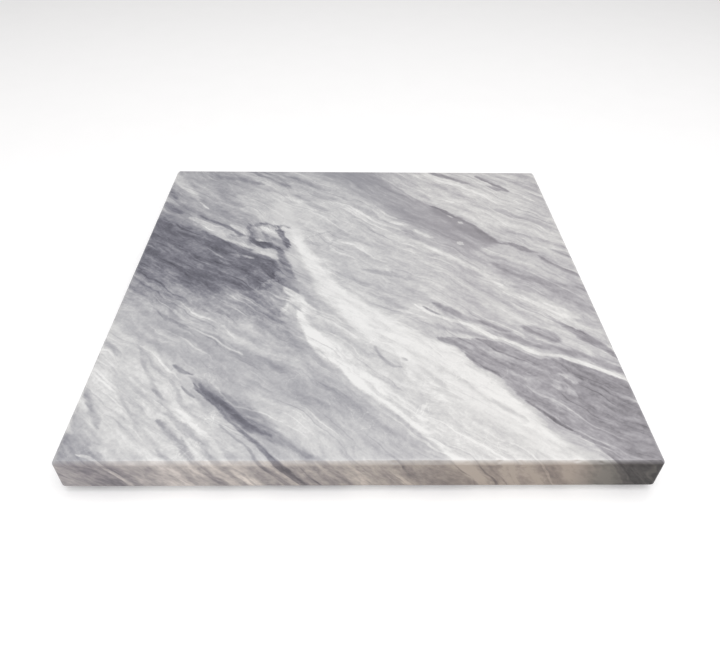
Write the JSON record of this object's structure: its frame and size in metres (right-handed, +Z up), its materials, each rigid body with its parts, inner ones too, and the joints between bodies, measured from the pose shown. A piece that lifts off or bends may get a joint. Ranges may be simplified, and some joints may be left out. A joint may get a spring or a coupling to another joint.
{
  "type": "stone tooling slab",
  "caption": "Square banded grey marble slab with a flat honed top, eased edges and small bumper feet, for tooling leather on a bench.",
  "frame": {"origin": "on the bench surface, under the middle of the slab", "axes": "+Z up out of the honed working face, -Y towards the person at the bench, +X to their right"},
  "size_m": [0.305, 0.305, 0.0238],
  "materials": {
    "marble": "satin",
    "foot_rubber": "matte"
  },
  "bodies": {
    "root": {"stone_slab": "marble", "foot_front_left": "foot_rubber", "foot_front_right": "foot_rubber", "foot_back_left": "foot_rubber", "foot_back_right": "foot_rubber"}
  },
  "joints": []
}
